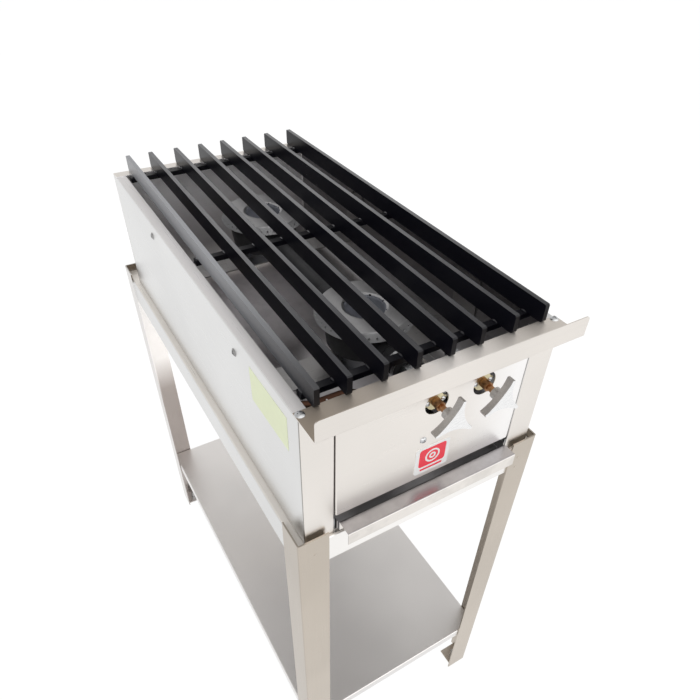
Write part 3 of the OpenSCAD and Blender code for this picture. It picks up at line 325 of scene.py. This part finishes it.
def knob_metal(name):
    """Cast aluminium: polished in front, grey and sandy round the sides and behind."""
    material, tree, shader = new_material(name)
    sand = noise(tree, (900.0,) * 3, detail=4.0, roughness=0.7)
    brushing = noise(tree, (120.0, 120.0, 1600.0), detail=3.0)
    front = between(tree, facing(tree, "Y"), 1, 0, -0.85, -0.6)
    cast = blend(tree, spread(tree, sand), (0.37, 0.365, 0.365), (0.55, 0.54, 0.535))
    polished = blend(tree, spread(tree, brushing), (0.80, 0.80, 0.80), (0.92, 0.92, 0.92))
    feed(tree, blend(tree, front, cast, polished), shader.inputs["Base Color"])
    shader.inputs["Metallic"].default_value = 1.0
    feed(tree, between(tree, front, 0.48, 0.22), shader.inputs["Roughness"])
    feed(tree, bump(tree, sand, 0.3, 0.12 * MM), shader.inputs["Normal"])
    return material


def plastic(name, colour, roughness):
    """Printed or painted plate: even colour with the slightest mottling."""
    material, tree, shader = new_material(name)
    mottle = noise(tree, (60.0,) * 3, detail=3.0)
    feed(tree, blend(tree, mottle, shade(colour, 0.96), shade(colour, 1.04)), shader.inputs["Base Color"])
    feed(tree, between(tree, mottle, roughness - 0.05, roughness + 0.05), shader.inputs["Roughness"])
    feed(tree, bump(tree, noise(tree, (700.0,) * 3), 0.08, 0.1 * MM), shader.inputs["Normal"])
    return material


# Grain of the brushing, by the direction it runs in
ALONG_X = (9.0, 1300.0, 1300.0)
ALONG_Y = (1300.0, 9.0, 1300.0)
ALONG_Z = (1300.0, 1300.0, 9.0)

# Tones
PANEL = (0.735, 0.735, 0.73)
# the same steel as PANEL, lighter and warmer: painted light where it stands for faces turned to the front
FRONT = (0.84, 0.80, 0.755)
LEG = (0.56, 0.50, 0.43)
SHELF = (0.82, 0.80, 0.785)
TRAY = (0.62, 0.61, 0.61)
IRON = (0.045, 0.045, 0.048)
CAP = (0.50, 0.50, 0.51)
# painted shade: the side panels' inner faces, as if in shadow inside the body
PAINTED_INSIDE_SHADE = (0.36, 0.35, 0.36)
# painted shadow: the front panel's inner face, nearly black
PAINTED_SHADOW = (0.07, 0.07, 0.07)
# painted dark line: a dark reflection along a bend and painted shade along a seam
PAINTED_DARK_LINE = (0.24, 0.22, 0.20)
# painted sheen: the pale blue-grey of the wall of a burner's hole
HOLE_SHEEN = (0.30, 0.31, 0.35)
# painted sheen and wear: the grey of the grate's upper faces
SHEEN_AND_WEAR_GREY = (0.17, 0.17, 0.175)
# painted light: the pale middle of the rear legs' inner faces
PAINTED_PALE = (0.97, 0.96, 0.95)

# Tones that change along an axis, all of them painted light or shade
# painted light: the front panel lightens towards the right
FRONT_LIGHT_RUN = ("X", ((0.03, FRONT), (0.12, (0.97, 0.955, 0.945))))
# painted light and reflection: the ledge's top is dark at the left, brightest in the middle, dimmer at the
# right
LEDGE_LIGHT_RUN = ("X", ((-0.17, (0.36, 0.305, 0.25)), (-0.09, (0.52, 0.465, 0.41)), (0.0, (0.98, 0.94, 0.90)),
                   (0.13, (0.67, 0.625, 0.575))))
# painted shade: the back panel's inner face darkens towards the bottom
BACK_SHADE_RUN = ("Z", ((0.74, (0.26, 0.25, 0.255)), (0.79, (0.48, 0.46, 0.465)), (0.86, (0.98, 0.97, 0.98))))
# painted light and shade: the rear legs' inner faces are pale in the middle, greyer lower down, dark at the
# top
LEG_LIGHT_RUN = ("Z", ((0.385, (0.46, 0.42, 0.40)), (0.47, PAINTED_PALE), (0.685, PAINTED_PALE), (0.694, (0.18, 0.15, 0.12))))
# painted light: the shelf's top lightens towards the rear
SHELF_LIGHT_RUN = ("Y", ((-0.30, shade(SHELF, 0.93)), (-0.05, shade(SHELF, 1.02)), (0.30, shade(SHELF, 1.12))))
# painted light and shade: the tray's level faces are dark at the handle and the pan's front, lighter further
# in
TRAY_LIGHT_RUN = ("Y", ((-0.30, (0.40, 0.39, 0.40)), (-0.25, (0.66, 0.64, 0.655))))

LEFT_BEND = -170 * MM
SIDE_SEAM = 692 * MM

# painted light and shade: the level, front and inner tones of these sheets are lit and shaded tones of one
# steel
panel_left = brushed_steel("panel_left", PANEL, ALONG_Y, level=(0.72, 0.70, 0.695), front=FRONT,
                           inner=("X", 1, PAINTED_INSIDE_SHADE), corner=LEFT_BEND, foot=SIDE_SEAM, matt=0.6)
panel_right = brushed_steel("panel_right", PANEL, ALONG_Y, front=FRONT, inner=("X", -1, PAINTED_INSIDE_SHADE))
panel_front = brushed_steel("panel_front", FRONT, ALONG_X, front=FRONT_LIGHT_RUN, inner=("Y", 1, PAINTED_SHADOW))
# painted light: the rails' top faces and the cross rails' front faces take their own lighter tones
rail_side = brushed_steel("rail_side", shade(PANEL, 0.96), ALONG_Y, level=(0.84, 0.80, 0.75), matt=0.5)
rail_cross = brushed_steel("rail_cross", FRONT, ALONG_X, front=(0.95, 0.93, 0.905))
back_steel = brushed_steel("back_steel", FRONT, ALONG_X, clouds=0.12, inner=("Y", -1, BACK_SHADE_RUN), matt=0.8)
ledge_steel = brushed_steel("ledge_steel", FRONT, ALONG_X, roughness=0.45, level=LEDGE_LIGHT_RUN, matt=0.3)
# painted light: the legs are lighter on faces turned to the front or back
leg_steel = brushed_steel("leg_steel", shade(LEG, 0.86), ALONG_Z, front=LEG)
rear_leg_steel = brushed_steel("rear_leg_steel", (0.74, 0.72, 0.70), ALONG_Z, inner=("Y", -1, LEG_LIGHT_RUN))
shelf_steel = brushed_steel("shelf_steel", SHELF, ALONG_Y, roughness=0.36, level=SHELF_LIGHT_RUN)
# painted light and shade: the tray's level faces and front take tones of their own
tray_steel = brushed_steel("tray_steel", TRAY, ALONG_X, roughness=0.28, streaks=0.005, level=TRAY_LIGHT_RUN,
                           front=shade(FRONT, 0.96), stain=0.08, grit=0.2)
runner_steel = brushed_steel("runner_steel", PANEL, ALONG_Y)
support_steel = brushed_steel("support_steel", shade(TRAY, 0.75), ALONG_X, roughness=0.3, clouds=0.2)
black_enamel = enamel_black("black_enamel", 0.14, 0.3, SHEEN_AND_WEAR_GREY)
outer_enamel = enamel_black("black_enamel_outer", 0.40, 0.36, SHEEN_AND_WEAR_GREY, painted_sheen=(0.26, 0.265, 0.28))
cross_enamel = enamel_black("black_enamel_cross", 0.3, 0.3, (0.02, 0.02, 0.022))
black_iron = cast_metal("black_iron", IRON, 0.55, 0.0)
zinc_steel = cast_metal("zinc_steel", (0.58, 0.59, 0.60), 0.28, 1.0, variation=0.1)
screw_steel = cast_metal("side_screws", (0.38, 0.375, 0.37), 0.3, 1.0)
valve_brass = cast_metal("valve_brass", (0.62, 0.55, 0.36), 0.32, 1.0)
spindle_brass = cast_metal("spindle_brass", (0.36, 0.19, 0.09), 0.34, 1.0)
pipe_copper = cast_metal("pipe_copper", (0.12, 0.06, 0.04), 0.4, 1.0)
knob_alloy = knob_metal("knob_metal")
white_plate = plastic("plate_white", (0.96, 0.96, 0.95), 0.25)
red_print = plastic("print_red", (0.96, 0.012, 0.045), 0.3)
label_green = plastic("label_green", (0.80, 0.85, 0.60), 0.55)

BY_SLOT = {
    "tray_steel": tray_steel,
    "black_enamel": black_enamel,
    "black_iron": black_iron,
    "zinc_steel": zinc_steel,
    "valve_brass": valve_brass,
    "spindle_brass": spindle_brass,
    "pipe_copper": pipe_copper,
    "knob_metal": knob_alloy,
    "plate_white": white_plate,
    "label_green": label_green,
}
BY_NODE = {
    "side_panel_left": panel_left,
    "side_panel_right": panel_right,
    "leg_rear_left": rear_leg_steel,
    "leg_rear_right": rear_leg_steel,
    "rail_left": rail_side,
    "rail_right": rail_side,
    "tray_runner_left": runner_steel,
    "tray_runner_right": runner_steel,
    "back_panel": back_steel,
    "front_panel": panel_front,
    "front_ledge": ledge_steel,
    "jet_front": zinc_steel,
    "grate_bar_1": outer_enamel,
    "grate_cross_bars": cross_enamel,
    "side_screws": screw_steel,
    "burner_support_front": support_steel,
    "burner_support_rear": support_steel,
    "rail_front": rail_cross,
    "rail_rear": rail_cross,
    "burner_bowl_front": cast_metal("bowl_front", IRON, 0.55, 0.0, centre=middle("burner_cap_front")),
    "burner_bowl_rear": cast_metal("bowl_rear", IRON, 0.55, 0.0, centre=middle("burner_cap_rear")),
    "shelf": shelf_steel,
    "burner_cap_front": turned_steel("cap_front", CAP, middle("burner_cap_front")),
    "burner_cap_rear": turned_steel("cap_rear", CAP, middle("burner_cap_rear")),
}


def dress_nodes():
    for part in record["subparts"]:
        node = part["node"]
        material = BY_NODE.get(node) or BY_SLOT.get(part["material_slot"]) or leg_steel
        mesh = nodes[node].data
        mesh.materials.clear()
        mesh.materials.append(material)


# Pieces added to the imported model

def mesh_object(name, mesh_maker, material, body):
    """Makes one mesh piece, in metres, and lets it ride on a body."""
    work = bmesh.new()
    mesh_maker(work)
    bmesh.ops.recalc_face_normals(work, faces=work.faces)
    mesh = bpy.data.meshes.new(name)
    work.to_mesh(mesh)
    work.free()
    mesh.materials.append(material)
    piece = bpy.data.objects.new(name, mesh)
    bpy.context.scene.collection.objects.link(piece)
    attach(piece, body)
    return piece


def blob(work, centre, radii, seed, rough=0.18):
    """A lump of weld metal: a ball pressed flat, with an uneven skin."""
    chance = random.Random(seed)
    made = bmesh.ops.create_icosphere(work, subdivisions=3, radius=1.0)
    waves = [(Vector([chance.uniform(-4, 4) for _ in range(3)]), chance.uniform(0, 6.28)) for _ in range(4)]
    for vertex in made["verts"]:
        swell = sum(math.sin(direction.dot(vertex.co) + phase) for direction, phase in waves) / len(waves)
        vertex.co = vertex.co * (1 + rough * swell)
        vertex.co = Vector([value * radius for value, radius in zip(vertex.co, radii)]) + centre
    for face in work.faces:
        face.smooth = True


def bar_faces(node, y):
    """The two sides of a bar, which may lean, at one distance from the front."""
    bar = nodes[node]
    spots = [bar.matrix_world @ vertex.co for vertex in bar.data.vertices]
    front, rear = min(spot.y for spot in spots), max(spot.y for spot in spots)
    share = (y - front) / (rear - front)
    near = [spot.x for spot in spots if spot.y < front + 5 * MM]
    far = [spot.x for spot in spots if spot.y > rear - 5 * MM]
    return [pick(near) * (1 - share) + pick(far) * share for pick in (min, max)]


CROSS_BAR_ROWS = (38, 341, 648)  # millimetres behind the body's front
LEG_FRONT = -6.5
SPOT_WELDS = ((-164.7, 673), (161.8, 671), (161.7, 651))  # x and z in millimetres
WELD_RADII = (2.4 * MM, 4.2 * MM, 2.2 * MM)
SPOT_RADII = (2.2 * MM, 0.5 * MM, 2.2 * MM)


def grate_welds(work):
    """A run of weld in each corner where a bar stands on a cross bar."""
    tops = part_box("grate_cross_bars")[1][2]
    for number in range(1, 9):
        for row, y in enumerate(CROSS_BAR_ROWS):
            spot = place(0, y, 0).y
            for side, x in zip((-1, 1), bar_faces("grate_bar_%d" % number, spot)):
                blob(work, Vector((x, spot, tops)), WELD_RADII, number * 10 + row * 3 + side)


def leg_welds(work):
    """Small spot welds where the front rail is fixed behind the legs."""
    for seed, (x, z) in enumerate(SPOT_WELDS, 300):
        blob(work, place(x, LEG_FRONT, z), SPOT_RADII, seed)


def ring(work, centre, outer, inner, depth, segments=64):
    """A flat ring facing the front, standing depth in front of the centre."""
    loops = []
    for radius, y in ((inner, 0), (inner, -depth), (outer, -depth), (outer, 0)):
        loops.append([
            work.verts.new(centre + Vector((radius * math.cos(a), y, radius * math.sin(a))))
            for a in (2 * math.pi * i / segments for i in range(segments))
        ])
    for first, second in zip(loops, loops[1:] + loops[:1]):
        for i in range(segments):
            j = (i + 1) % segments
            work.faces.new((first[i], first[j], second[j], second[i]))


def rounded_plate(work, centre, width, height, corner, depth, steps=8):
    """A plate with round corners facing the front."""
    outline = []
    for turn, (sx, sz) in enumerate(((1, 1), (-1, 1), (-1, -1), (1, -1))):
        for step in range(steps + 1):
            angle = math.pi / 2 * (turn + step / steps)
            outline.append(Vector((sx * (width / 2 - corner) + corner * math.cos(angle), 0,
                                   sz * (height / 2 - corner) + corner * math.sin(angle))))
    back = [work.verts.new(centre + point) for point in outline]
    front = [work.verts.new(centre + point + Vector((0, -depth, 0))) for point in outline]
    work.faces.new(front)
    work.faces.new(back)
    for i in range(len(outline)):
        j = (i + 1) % len(outline)
        work.faces.new((back[i], back[j], front[j], front[i]))


PRINT = 0.15 * MM  # how far the print stands off its plate
FIELD = (40 * MM, 31 * MM, 4 * MM)  # width, height and corner radius
LINE = (34 * MM, 3.2 * MM, 1.4 * MM)
RINGS = ((11 * MM, 8.5 * MM), (5 * MM, 2.5 * MM))  # outer and inner radii
FIELD_UP = 4 * MM  # from the plate's middle
LINE_UP = -16.5 * MM


def on_badge(up, out=0):
    """A point in front of the plate, up from its middle and out from its face."""
    spot = middle("badge_plate")
    return Vector((spot.x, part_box("badge_plate")[0][1] - out, spot.z + up))


def badge_field(work):
    rounded_plate(work, on_badge(FIELD_UP), *FIELD, PRINT)


def badge_rings(work):
    for outer, inner in RINGS:
        ring(work, on_badge(FIELD_UP, PRINT), outer, inner, PRINT)


def badge_line(work):
    rounded_plate(work, on_badge(LINE_UP), *LINE, PRINT)


def add_pieces():
    mesh_object("grate_welds", grate_welds, black_enamel, "grate")
    mesh_object("leg_welds", leg_welds, leg_steel, "stove")
    mesh_object("badge_field", badge_field, red_print, "stove")
    mesh_object("badge_rings", badge_rings, white_plate, "stove")
    mesh_object("badge_line", badge_line, red_print, "stove")


# Studio

FLOOR_HALF = 30
LAMP_AIM = Vector((0, 0, 0.6))
LAMPS = (  # name, place, width and watts
    ("key", (-1.6, -1.4, 2.6), 1.6, 26),
    ("fill", (1.8, -0.6, 2.2), 1.6, 12),
    ("back", (0.2, 2.0, 2.4), 1.4, 12),
)


def add_floor():
    """Pale floor that takes the shadows, and is nearly white where it is looked at."""
    material = bpy.data.materials.new("floor")
    material.use_nodes = True
    tree = material.node_tree
    tree.nodes.clear()
    path = add(tree, "LightPath")
    seen = math_node(tree, "MAXIMUM", path.outputs["Is Camera Ray"], path.outputs["Is Glossy Ray"])
    plain = add(tree, "BsdfDiffuse", Color=(0.86, 0.86, 0.86, 1))
    white = add(tree, "Emission", Color=(1, 1, 1, 1), Strength=1.06)
    both = add(tree, "MixShader", _0=times(tree, seen, 0.9), _1=plain.outputs[0], _2=white.outputs[0])
    output = add(tree, "OutputMaterial", Surface=both.outputs[0])
    output.is_active_output = True
    corners = [(x * FLOOR_HALF, y * FLOOR_HALF, 0) for x, y in ((-1, -1), (1, -1), (1, 1), (-1, 1))]
    mesh = bpy.data.meshes.new("floor")
    mesh.from_pydata(corners, [], [(0, 1, 2, 3)])
    mesh.materials.append(material)
    floor = bpy.data.objects.new("floor", mesh)
    bpy.context.scene.collection.objects.link(floor)


def add_world():
    """White where the camera looks; metal sees a bright wall, a dimmer ceiling and light in front."""
    world = bpy.data.worlds.new("studio")
    bpy.context.scene.world = world
    world.use_nodes = True
    tree = world.node_tree
    tree.nodes.clear()
    path = add(tree, "LightPath")
    direction = add(tree, "SeparateXYZ", Vector=add(tree, "TexCoord").outputs["Generated"]).outputs
    ramp = add(tree, "ValToRGB", Fac=direction["Z"])
    stops = ramp.color_ramp.elements
    stops[0].position, stops[0].color = 0.10, (0.95, 0.95, 0.95, 1)
    stops[1].position, stops[1].color = 0.50, (0.70, 0.69, 0.68, 1)
    frontward = times(tree, between(tree, direction["Y"], 1, 0, -0.6, -0.1),
                      between(tree, direction["Z"], 0, 1, 0.05, 0.35))
    glossy = add(tree, "Background", Color=ramp.outputs[0], Strength=between(tree, frontward, 1.0, 2.6))
    white = add(tree, "Background", Color=(1, 1, 1, 1), Strength=1.0)
    soft = add(tree, "Background", Color=(1, 1, 1, 1), Strength=0.62)
    lit = add(tree, "MixShader", _0=path.outputs["Is Glossy Ray"], _1=soft.outputs[0], _2=glossy.outputs[0])
    seen = math_node(tree, "MAXIMUM", path.outputs["Is Camera Ray"], path.outputs["Is Transmission Ray"])
    shown = add(tree, "MixShader", _0=seen, _1=lit.outputs[0], _2=white.outputs[0])
    add(tree, "OutputWorld", Surface=shown.outputs[0])


def add_lamp(name, spot, size, power):
    lamp = bpy.data.lights.new(name, "AREA")
    lamp.shape = "DISK"
    lamp.size = size
    lamp.energy = power
    piece = bpy.data.objects.new(name, lamp)
    piece.location = spot
    piece.rotation_euler = (LAMP_AIM - Vector(spot)).to_track_quat("-Z", "Y").to_euler()
    piece.visible_glossy = False
    bpy.context.scene.collection.objects.link(piece)


# Camera, from the photograph's perspective
LENS_PIXELS = 597.097
CENTRE_PIXELS = Vector((358.604, 401.242))
FRAME_PIXELS = 700
CAMERA_SPOT = place(-347.140, -373.444, 1296.057)
TURN, DOWN, ROLL = (math.radians(angle) for angle in (32.662, 42.229, 2.319))


def add_camera():
    ahead = Vector((math.sin(TURN) * math.cos(DOWN), math.cos(TURN) * math.cos(DOWN), -math.sin(DOWN)))
    level = ahead.cross(Vector((0, 0, 1))).normalized()
    upright = level.cross(ahead)
    right = math.cos(ROLL) * level + math.sin(ROLL) * upright
    up = math.cos(ROLL) * upright - math.sin(ROLL) * level
    data = bpy.data.cameras.new("camera")
    data.sensor_fit = "HORIZONTAL"
    data.sensor_width = 36
    data.lens = LENS_PIXELS / FRAME_PIXELS * data.sensor_width
    data.shift_x = (FRAME_PIXELS / 2 - CENTRE_PIXELS.x) / FRAME_PIXELS
    data.shift_y = (CENTRE_PIXELS.y - FRAME_PIXELS / 2) / FRAME_PIXELS
    data.clip_start = 0.01
    data.clip_end = 200
    camera = bpy.data.objects.new("camera", data)
    camera.matrix_world = Matrix.Translation(CAMERA_SPOT) @ Matrix((right, up, -ahead)).transposed().to_4x4()
    bpy.context.scene.collection.objects.link(camera)
    bpy.context.scene.camera = camera


dress_nodes()
add_pieces()
add_floor()
add_world()
for lamp in LAMPS:
    add_lamp(*lamp)
add_camera()
bpy.context.scene.view_settings.view_transform = "Standard"
